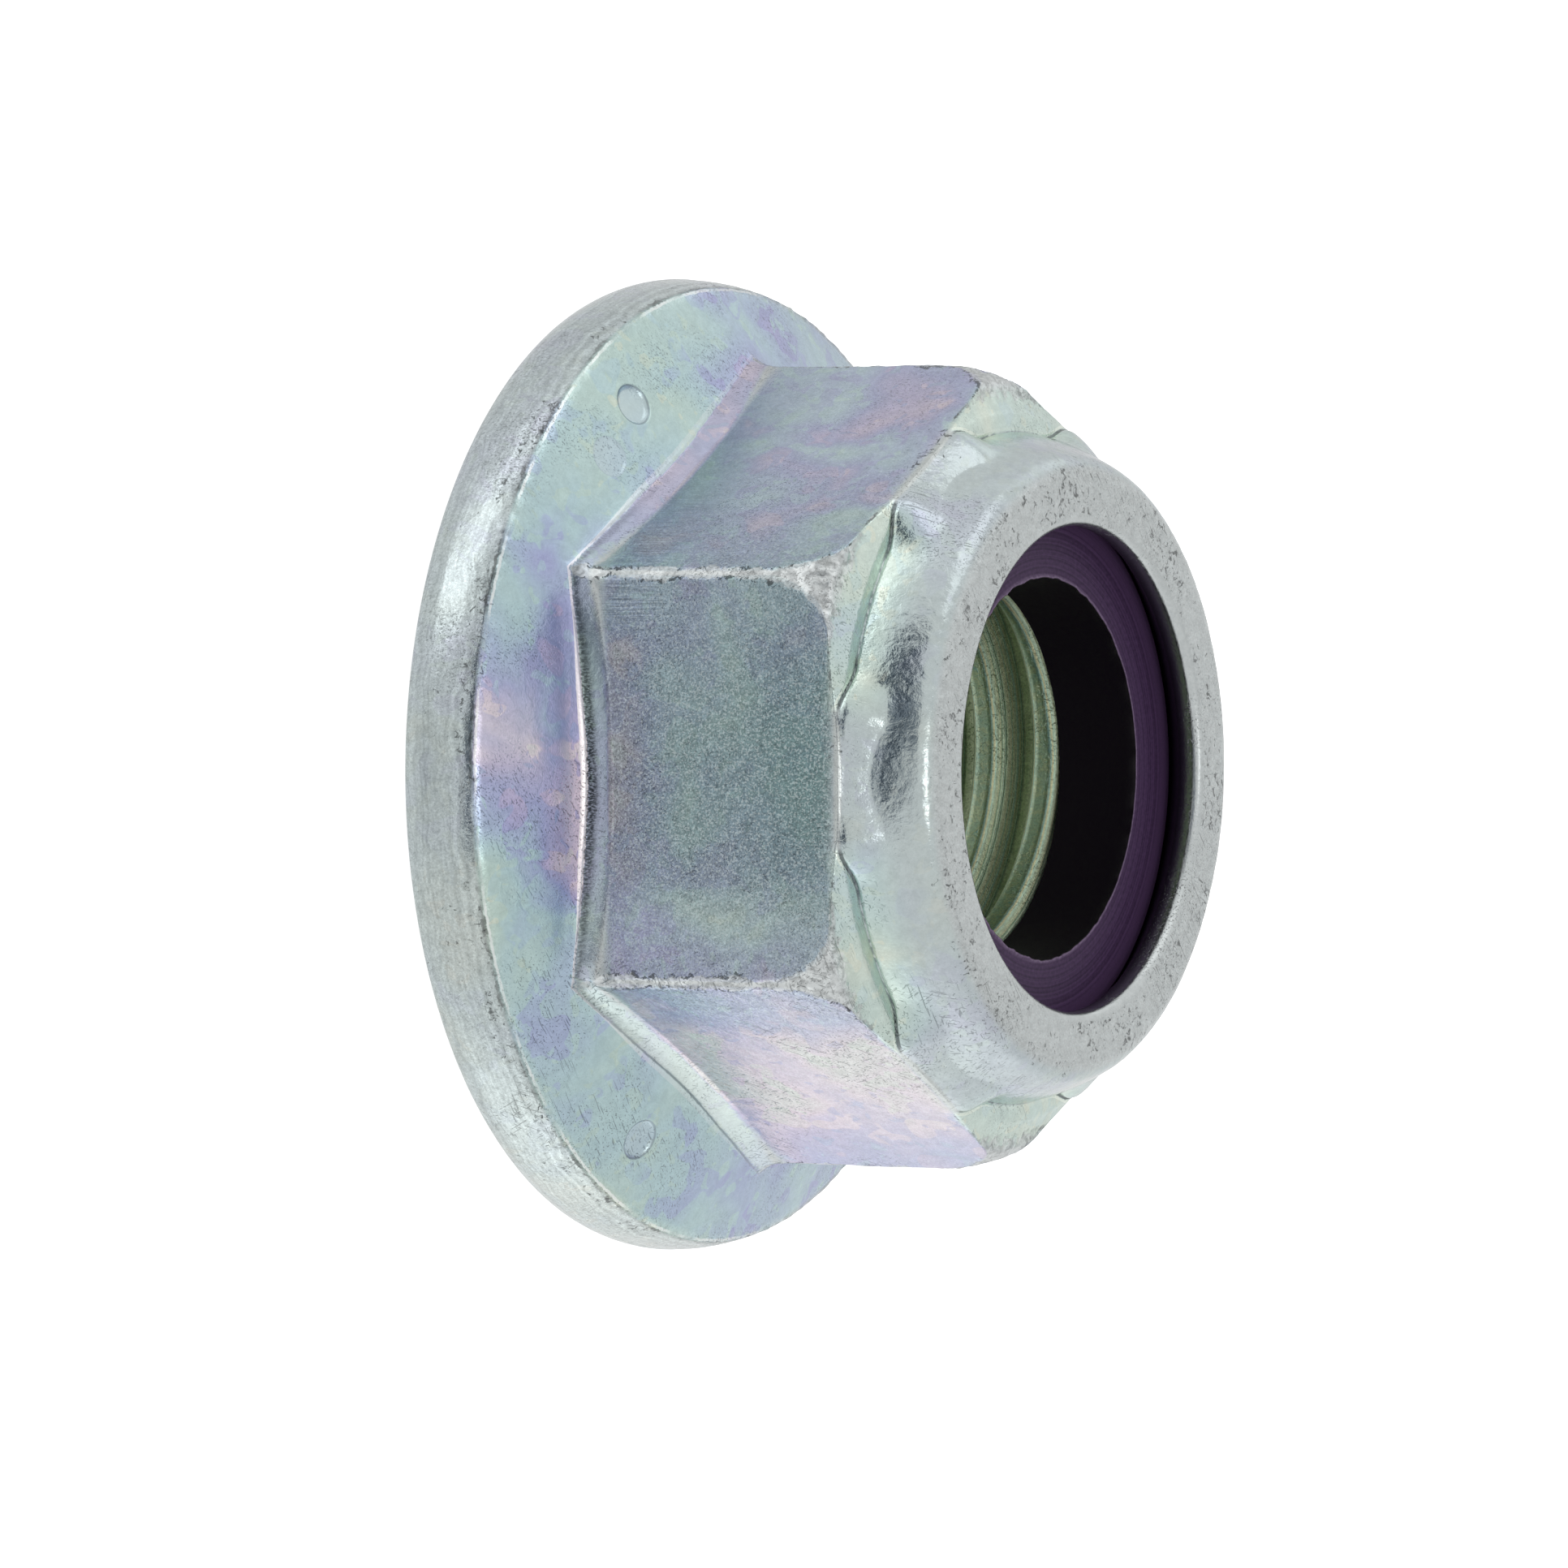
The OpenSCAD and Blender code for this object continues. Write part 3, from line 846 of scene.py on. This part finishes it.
def zinc_material(finish, sizes, outline, marks):
    """Zinc plating with a clear passivate: a satin metal under a film whose thickness shows as pale hues."""
    material, tree = new_material("zinc plate, barrelled and passivated")
    add = partial(add_node, tree)
    place = add("ShaderNodeTexCoord", {}, out="Object")
    x, y, height = add("ShaderNodeSeparateXYZ", {}, place, out=slice(3))
    height = add(MATH, "DIVIDE", height, MM)
    cloud, mark = {}, {}
    for name, (size, detail, distortion, roughness) in CLOUDS.items():
        values = {"Vector": place, "Scale": grain(size), "Detail": detail}
        values |= {"Distortion": distortion, "Roughness": roughness}
        cloud[name] = add(NOISE, {}, values)
    for name in marks:
        mark[name] = add("ShaderNodeAttribute", {"attribute_name": name}, out="Fac")
    from_foot, from_rim, from_edge = mark["from_foot"], mark["from_rim"], mark["from_edge"]
    from_crease, creased, front = mark["from_crease"], mark["creased"], mark["front"]
    rim, bore, grainy, bright = mark["rim"], mark["bore"], mark["grainy"], mark["bright"]
    dull, speckle, mottle = mark["dull"], cloud["speckle"], cloud["mottle"]
    ragged = add(MATH, "SUBTRACT", cloud["ragged"], 0.5)
    wavy = add(MATH, "SUBTRACT", cloud["wavy"], 0.5)

    def product(*values):
        total = values[0]
        for value in values[1:]:
            total = add(MATH, "MULTIPLY", total, value)
        return total

    def torn(value, depth):
        """The value, moved up and down raggedly by up to about half of the depth."""
        return add(MATH, "MULTIPLY_ADD", ragged, depth, value)

    def band(value, start=None, end=None, soft=0.01):
        """1 where the value lies above the start and below the end, either of which may be left out."""
        total = 1.0
        for operation, edge in (("MULTIPLY", start), ("SUBTRACT", end)):
            if edge is not None:
                limits = {"Value": value, "From Min": edge - soft, "From Max": edge + soft}
                passed = add("ShaderNodeMapRange", {"interpolation_type": "SMOOTHSTEP"}, limits)
                total = add(MATH, operation, total, passed)
        return total

    def lines(size, reach, turns, limit):
        """Short straight marks in a few directions, from noise stretched along each."""
        total = 0.0
        for turn in turns:
            stretch = {"Vector": place, "Rotation": turn, "Scale": (1.0, 1.0, reach / size)}
            along = add("ShaderNodeMapping", {"vector_type": "TEXTURE"}, stretch)
            streaks = add(NOISE, {}, {"Vector": along, "Scale": grain(size), "Detail": 1.0})
            line = product(add(MATH, "SUBTRACT", streaks, limit), SHARPNESS)
            total = add(MATH, "MAXIMUM", line, total)
        return add(MATH, "MINIMUM", total, 1.0)

    # The film's hue runs through pale interference colours with its thickness, in patches and islands
    patches = add(MATH, "SUBTRACT", cloud["patch"], 0.5)
    thickness = add(MATH, "MULTIPLY_ADD", patches, mark["varied"], mark["hue"])
    island = band(cloud["island"], 0.58, soft=0.015)
    thin_island = band(cloud["thin_island"], 0.635, soft=0.015)
    thickness = add(MATH, "MULTIPLY_ADD", island, 0.1, thickness)
    thickness = add(MATH, "MULTIPLY_ADD", thin_island, -0.1, thickness)

    # Coats laid over the bare metal in turn: how each is mixed in, its share, and its colour or pattern
    coats = [
        ("MIX", mark["filmed"], add(RAMP, {}, thickness, stops=FILM_HUES)),
        # Painted shade: the front flat darkened over its duller film; the upper flat darker towards its foot
        ("MIX", product(dull, 0.75), "#6a8889"),
        # Painted light: the lower flat and its foot paled; elsewhere a paler film
        ("MIX", product(mark["pale"], 0.6), "#e6eee6"),
    ]

    # Grain of the plating, drawn twice as coarse as it is so that it shows
    flecks = lines(0.04, 0.2, ((0.0, 0.6, 0.0), (1.3, 0.2, 0.8), (0.8, 1.9, 0.3)), 0.6)
    uneven = add(MATH, "MULTIPLY_ADD", grainy, 0.7, 0.3)
    level = add(MATH, "MULTIPLY_ADD", cloud["blotch"], 0.5 * MM, product(height, MM))
    turned = add(NOISE, {"noise_dimensions": "1D"}, {"W": level, "Scale": grain(0.1)})
    stretch = {"Vector": place, "Scale": (1.0, 1.0, 30.0)}
    upright = add("ShaderNodeMapping", {"vector_type": "TEXTURE"}, stretch)
    grooves = add(NOISE, {}, {"Vector": upright, "Scale": grain(0.03), "Detail": 2.0})
    coats += [
        ("MULTIPLY", grainy, add(RAMP, {}, speckle, stops=((0.36, 0.66), (0.64, 1.3)))),
        ("MULTIPLY", uneven, add(RAMP, {}, mottle, stops=((0.34, 0.78), (0.66, 1.14)))),
        ("MIX", product(flecks, grainy, 0.45), "#e2eeee"),
        ("MULTIPLY", rim, add(RAMP, {}, turned, stops=((0.35, 0.88), (0.65, 1.08)))),
        ("MULTIPLY", mark["grooved"], add(RAMP, {}, grooves, stops=((0.4, 0.55), (0.6, 1.4)))),
    ]

    # The dents, whose edges are painted dark as painted shade on their walls, and whose floors carry a
    # thinner film
    dent_edge_shade, floored = 0.0, 0.0
    for middle, normal, share in dent_places(outline):
        gap = add("ShaderNodeVectorMath", "DISTANCE", place, middle * MM, out="Value")
        from_dent = add(MATH, "SUBTRACT", add(MATH, "DIVIDE", gap, MM), sizes.dent / MM / 2)
        dent_edge_shade = add(MATH, "MULTIPLY_ADD", band(from_dent, -0.025, 0.008, 0.006), share, dent_edge_shade)
        floored = add(MATH, "ADD", band(from_dent, end=0.0), floored)
    coats += [("MIX", product(floored, 0.3), "#c3cbe0"), ("MIX", product(dent_edge_shade, 0.5), "#66757c")]

    # Ridges and chamfers are rubbed bare, with ragged borders
    torn_edge = torn(add(MATH, "MULTIPLY_ADD", wavy, 0.2, from_edge), 0.14)
    on_ridge = band(torn_edge, end=0.0, soft=0.012)
    below_ledge = band(torn(height, 0.2), end=7.37, soft=0.02)
    above_foot = band(from_foot, end=-0.06, soft=0.02)
    worn = product(on_ridge, below_ledge, above_foot)
    coats += [
        ("MIX", product(worn, 0.6), finish.worn),
        ("MULTIPLY", worn, add(RAMP, {}, cloud["rumple"], stops=((0.36, 0.6), (0.58, 1.0)))),
    ]

    # A burr along the foot of each flat, drawn as a painted highlight strongest on the front flat, a painted
    # shade line along it on the lower feet, and above it a rough band painted near black, partly torn metal
    # and partly painted shade strongest on the front flat
    narrowed = add(MATH, "DIVIDE", from_foot, add(MATH, "MULTIPLY_ADD", mark["mid"], 0.65, 0.35))
    burr = band(torn(narrowed, 0.03), -0.01, 0.12)
    low_foot_shade = band(torn(from_foot, 0.04), 0.0, 0.04)
    torn_foot = torn(from_foot, 0.1)
    grime = add(MATH, "SUBTRACT", band(torn_foot, -0.17, soft=0.08), band(torn_foot, 0.01, soft=0.02))
    streaked = add(RAMP, {}, grooves, stops=((0.42, 1.0), (0.62, 0.5)))
    coats += [
        ("MIX", product(burr, add(MATH, "MULTIPLY_ADD", front, 0.8, 0.12)), "#fbf3f4"),
        ("MIX", product(low_foot_shade, mark["low_foot"], 0.6), "#56676d"),
        ("MIX", product(grime, add(MATH, "MULTIPLY_ADD", front, 0.9, 0.05), streaked), "#161d1f"),
    ]

    # The rim's upper edge: dark pits outside it, and inside it a bright line, a painted highlight along the
    # edge
    torn_rim = torn(from_rim, 0.22)
    knocked = add(RAMP, {}, cloud["blotch"], stops=((0.4, 0.15), (0.55, 1.0)))
    chipped = add(RAMP, {}, mottle, stops=((0.42, 0.3), (0.56, 1.0)))
    rim_light = band(torn(from_rim, 0.06), 0.0, 0.05)
    coats += [
        ("MIX", product(band(torn_rim, -0.09, -0.005, 0.015), knocked, chipped, 0.7), "#4a4b48"),
        ("MIX", product(rim_light, knocked, 0.6), "#f4f6f5"),
    ]

    # The crease under the collar, painted dark as painted shade with a painted highlight along its lower lip,
    # and the ledge's torn edge over each chamfer
    on_ledge = product(band(from_crease, 0.02), creased, band(torn_edge, -0.3, 0.03, 0.03))
    tear = band(torn(height, 0.24), 7.33, 7.39, 0.015)
    coats += [
        ("MIX", product(band(from_crease, -0.03, 0.012, 0.006), creased, 0.75), "#3d4547"),
        ("MIX", product(band(from_crease, 0.02, 0.06, 0.008), creased, 0.7), "#eef6ea"),
        ("MIX", product(tear, on_ledge, 0.7), "#55585a"),
    ]

    # Dark pits, thicker on the ground where edges were knocked, and fine scratches from the barrel
    border = product(band(torn_edge, -0.02, 0.03), below_ledge, above_foot)
    often = add(MATH, "MULTIPLY_ADD", border, 0.75, mark["pitted"])
    often = product(often, add(RAMP, {}, cloud["region"], stops=((0.35, 0.35), (0.6, 1.0))))
    limit = add(MATH, "SUBTRACT", 0.74, product(often, 0.28))
    hole = add(MATH, "MAXIMUM", add(MATH, "SUBTRACT", cloud["pit"], limit), 0.0)
    hole = add(MATH, "MINIMUM", product(hole, SHARPNESS), 1.0)
    scratches = lines(0.035, 0.9, ((0.4, 0.3, 0.0), (1.5, 1.2, 0.6), (2.6, 0.5, 1.8)), 0.655)
    scratches = product(scratches, add(RAMP, {}, cloud["scratched"], stops=((0.42, 0.0), (0.6, 1.0))))
    coats += [("MIX", product(hole, 0.75), finish.grime), ("MIX", product(scratches, 0.4), finish.grime)]

    # The bore, where the film is thick, and the crevice round the ring, painted near black as painted shade
    # where little light falls
    radius = add(MATH, "SQRT", add(MATH, "ADD", add(MATH, "POWER", x, 2.0), add(MATH, "POWER", y, 2.0)))
    swept = add(MATH, "MULTIPLY_ADD", mottle, 0.03 * MM, radius)
    cut = {"W": swept, "Scale": grain(0.05), "Detail": 4.0, "Roughness": 0.7}
    tool_marks = add(NOISE, {"noise_dimensions": "1D"}, cut)
    patina = add(RAMP, {}, tool_marks, stops=BORE_HUES)
    stained = add(RAMP, {}, speckle, stops=((0.35, 0.75), (0.65, 1.15)))
    patina = add(MIX, {"data_type": "RGBA", "blend_type": "MULTIPLY"}, {0: 1.0, 6: patina, 7: stained}, out=2)
    coats += [("MIX", bore, patina), ("MIX", product(mark["hidden"], 0.85), "#2b2c2c")]

    base = (*finish.zinc, 1)
    for kind, share, coat in coats:
        if isinstance(coat, str):
            coat = linear(coat)
        if not isinstance(coat, bpy.types.NodeSocket):
            coat = (*coat, 1)
        base = add(MIX, {"data_type": "RGBA", "blend_type": kind}, {0: share, 6: base, 7: coat}, out=2)

    rough = 0.18
    changes = ((mottle, 0.12), (dull, 0.14), (bright, -0.14), (rim, -0.09), (bore, 0.16), (worn, 0.1))
    for cause, change in changes:
        rough = add(MATH, "MULTIPLY_ADD", cause, change, rough)

    # Reliefs: height, depth in millimetres, and whether it is sunk
    sunk = add(MATH, "MAXIMUM", hole, product(scratches, 0.4))
    reliefs = (
        (speckle, 0.0015, False),
        (mottle, 0.008, False),
        (product(cloud["hammer"], bright), 0.008, False),
        (sunk, 0.02, True),
        (product(tool_marks, bore), 0.01, False),
    )
    bumped = {}
    for relief, depth, invert in reliefs:
        values = {"Strength": 1.0, "Distance": depth * MM, "Height": relief} | bumped
        bumped = {"Normal": add("ShaderNodeBump", {"invert": invert}, values)}
    values = {"Base Color": base, "Metallic": 1.0, "Roughness": rough} | bumped
    add("ShaderNodeOutputMaterial", {}, add("ShaderNodeBsdfPrincipled", {}, values))
    return material


def nylon_material(finish):
    """Dyed polyamide, turned on its top: matte, with fine rings from the cutter and a paler torn edge, its
    hole wall painted near black as painted shade and its outer part under the lip lighter as painted light.
    """
    material, tree = new_material("polyamide, dyed and turned")
    add = partial(add_node, tree)
    place = add("ShaderNodeTexCoord", {}, out="Object")
    burr = add("ShaderNodeAttribute", {"attribute_name": "burr"}, out="Fac")
    wall = add("ShaderNodeAttribute", {"attribute_name": "hole_wall"}, out="Fac")
    under_lip = add("ShaderNodeAttribute", {"attribute_name": "under_lip"}, out="Fac")
    x, y = add("ShaderNodeSeparateXYZ", {}, place, out=slice(2))
    radius = add(MATH, "SQRT", add(MATH, "ADD", add(MATH, "POWER", x, 2.0), add(MATH, "POWER", y, 2.0)))
    rings = add(NOISE, {"noise_dimensions": "1D"}, {"W": radius, "Scale": grain(0.06), "Detail": 2.0})
    fibre = add(NOISE, {}, {"Vector": place, "Scale": grain(0.08), "Detail": 3.0})
    mixed = add(MATH, "MULTIPLY_ADD", rings, 0.6, add(MATH, "MULTIPLY", fibre, 0.4))
    base = add(RAMP, {}, mixed, stops=((0.35, "#33233d"), (0.65, finish.nylon[:])))
    torn = add(MATH, "MULTIPLY", burr, fibre)
    # Coats: the paler torn edge, the hole wall painted near black as painted shade, and the outer part under
    # the lip painted lighter as painted light
    for share, shade in ((torn, "#8d7a96"), (wall, "#0d0510"), (under_lip, "#5b4368")):
        base = add(MIX, {"data_type": "RGBA"}, {0: share, 6: base, 7: (*linear(shade), 1)}, out=2)
    values = {
        "Base Color": base,
        "Roughness": add(MATH, "MULTIPLY_ADD", wall, -0.05, 0.5),
        "IOR": 1.53,
        "Specular IOR Level": 0.12,
        "Normal": add("ShaderNodeBump", {}, {"Strength": 1.0, "Distance": 0.008 * MM, "Height": mixed}),
    }
    add("ShaderNodeOutputMaterial", {}, add("ShaderNodeBsdfPrincipled", {}, values))
    return material


# The studio

CAMERA_PLACE = Vector((174.36, -6.79, 104.8)) * MM
CAMERA_RIGHT = Vector((-0.505, 0.0085, 0.863))
CAMERA_DOWN = Vector((0.0347, 0.99935, 0.0105))


# Softboxes and dark cards of the dome: azimuth, elevation and half width in degrees, and strength
CARDS = (
    (-95, 18, 20, 0.12),
    (-78, -6, 7, 0.6),
    (-60, -13, 8, 0.9),
    (-42, -20, 8, 1.1),
    (-112, -28, 14, -0.06),
    (-150, -20, 25, -0.1),
    (-141, 12, 10, 0.3),
    (-146, 46, 14, 0.12),
    (112, 5, 16, 0.15),
    (88, -18, 18, 0.5),
    (125, -28, 24, 0.22),
    (160, 52, 15, -0.1),
    (5, 68, 5.5, 2.3),
    (2, -32, 14, -0.22),
    (-44, 15.5, 5, -0.8),
    (-33, 14.5, 5, -0.8),
    (-22, 13.5, 5, -0.8),
    (-11, 11.5, 5, -0.8),
    (0, 9, 5, -0.8),
    (11, 6, 5, -0.8),
    (-12, 24, 6, -0.3),
    (-21, 27, 6, -0.5),
    (5, 20, 6, -0.3),
)


def direction(azimuth, elevation):
    """Unit vector towards an azimuth from +X and an elevation, in degrees."""
    a, e = math.radians(azimuth), math.radians(elevation)
    return Vector((math.cos(a) * math.cos(e), math.sin(a) * math.cos(e), math.sin(e)))


def light_dome(tree, strength):
    """White light from all round, stronger towards each softbox and weaker towards each dark card."""
    add = partial(add_node, tree)
    looking = add("ShaderNodeVectorMath", "NORMALIZE", add("ShaderNodeTexCoord", {}, out="Generated"))
    total = strength
    for azimuth, elevation, half_width, share in CARDS:
        facing = add("ShaderNodeVectorMath", "DOT_PRODUCT", looking, direction(azimuth, elevation), out=1)
        sharpness = math.log(2) / (1 - math.cos(math.radians(half_width)))
        glow = add(MATH, "MULTIPLY", add(MATH, "SUBTRACT", facing, 1.0), sharpness)
        total = add(MATH, "MULTIPLY_ADD", add(MATH, "EXPONENT", glow), share, total)
    total = add(MATH, "MAXIMUM", total, 0.03)
    cool = add(RAMP, {}, total, stops=((0.1, "#9db6d6"), (0.7, 1.0)))
    add("ShaderNodeOutputWorld", {}, add("ShaderNodeBackground", {}, {"Color": cool, "Strength": total}))


class NUT_OT_studio(bpy.types.Operator):
    """Build the floor, the lights and the camera"""

    bl_idname = "lock_nut.studio"
    bl_label = "Floor, lights and camera"

    def execute(self, context):
        scene = context.scene
        studio = scene.studio_light
        scene.view_settings.view_transform = "Standard"
        floor_mesh = bpy.data.meshes.new("floor")
        half, drop = 1.5, 0.02 * MM
        corners = [(-half, -half, -drop), (half, -half, -drop), (half, half, -drop), (-half, half, -drop)]
        floor_mesh.from_pydata(corners, [], [(0, 1, 2, 3)])
        material, tree = new_material("floor, matt white card")
        values = {
            "Base Color": (*studio.floor[:], 1),
            "Roughness": 0.9,
            "Emission Color": (1, 1, 1, 1),
            "Emission Strength": studio.glow,
        }
        shader = add_node(tree, "ShaderNodeBsdfPrincipled", {}, values)
        add_node(tree, "ShaderNodeOutputMaterial", {}, shader)
        floor_mesh.materials.append(material)
        floor = bpy.data.objects.new("floor", floor_mesh)
        scene.collection.objects.link(floor)
        floor.visible_glossy = False

        world = bpy.data.worlds.new("studio")
        scene.world = world
        world.use_nodes = True
        world.node_tree.nodes.clear()
        light_dome(world.node_tree, studio.dome)
        away = direction(-95, 35)
        lamp = bpy.data.lights.new("key", "AREA")
        lamp.energy = studio.key
        lamp.size = 0.25
        holder = bpy.data.objects.new("key", lamp)
        holder.location = Vector((0, 0, 4.5 * MM)) + away * 0.4
        holder.rotation_euler = away.to_track_quat("Z", "Y").to_euler()
        scene.collection.objects.link(holder)

        camera = bpy.data.cameras.new("camera")
        camera.lens = studio.lens
        camera.sensor_width = 36
        camera.clip_start, camera.clip_end = 0.01, 10
        viewer = bpy.data.objects.new("camera", camera)
        right, up = CAMERA_RIGHT.normalized(), -CAMERA_DOWN.normalized()
        turn = Matrix((right, up, right.cross(up))).transposed().to_4x4()
        viewer.matrix_world = Matrix.Translation(CAMERA_PLACE) @ turn
        scene.collection.objects.link(viewer)
        scene.camera = viewer
        return {"FINISHED"}


class NUT_PT_panel(bpy.types.Panel):
    """Sidebar panel with the steps that build the nut."""

    bl_label = "Lock nut"
    bl_idname = "NUT_PT_panel"
    bl_space_type = "VIEW_3D"
    bl_region_type = "UI"
    bl_category = "Lock nut"

    def draw(self, context):
        for operator in STEPS:
            self.layout.operator(operator.bl_idname)
        for name in GROUPS:
            group = getattr(context.scene, name)
            box = self.layout.box()
            for key in type(group).__annotations__:
                box.prop(group, key)


STEPS = (NUT_OT_body, NUT_OT_ring, NUT_OT_studio)
GROUPS = {
    "nut_sizes": NutSizes,
    "thread_sizes": ThreadSizes,
    "ring_sizes": RingSizes,
    "nut_finish": NutFinish,
    "studio_light": StudioLight,
}


def register():
    """Registers the classes and puts their values on the scene."""
    for group in (*GROUPS.values(), *STEPS, NUT_PT_panel):
        bpy.utils.register_class(group)
    for name, group in GROUPS.items():
        setattr(bpy.types.Scene, name, PointerProperty(type=group))


def unregister():
    """Takes the values off the scene and the classes out again."""
    for name in GROUPS:
        delattr(bpy.types.Scene, name)
    for group in reversed((*GROUPS.values(), *STEPS, NUT_PT_panel)):
        bpy.utils.unregister_class(group)


def main():
    register()
    bpy.ops.lock_nut.body()
    bpy.ops.lock_nut.ring()
    bpy.ops.lock_nut.studio()


if __name__ == "__main__":
    main()
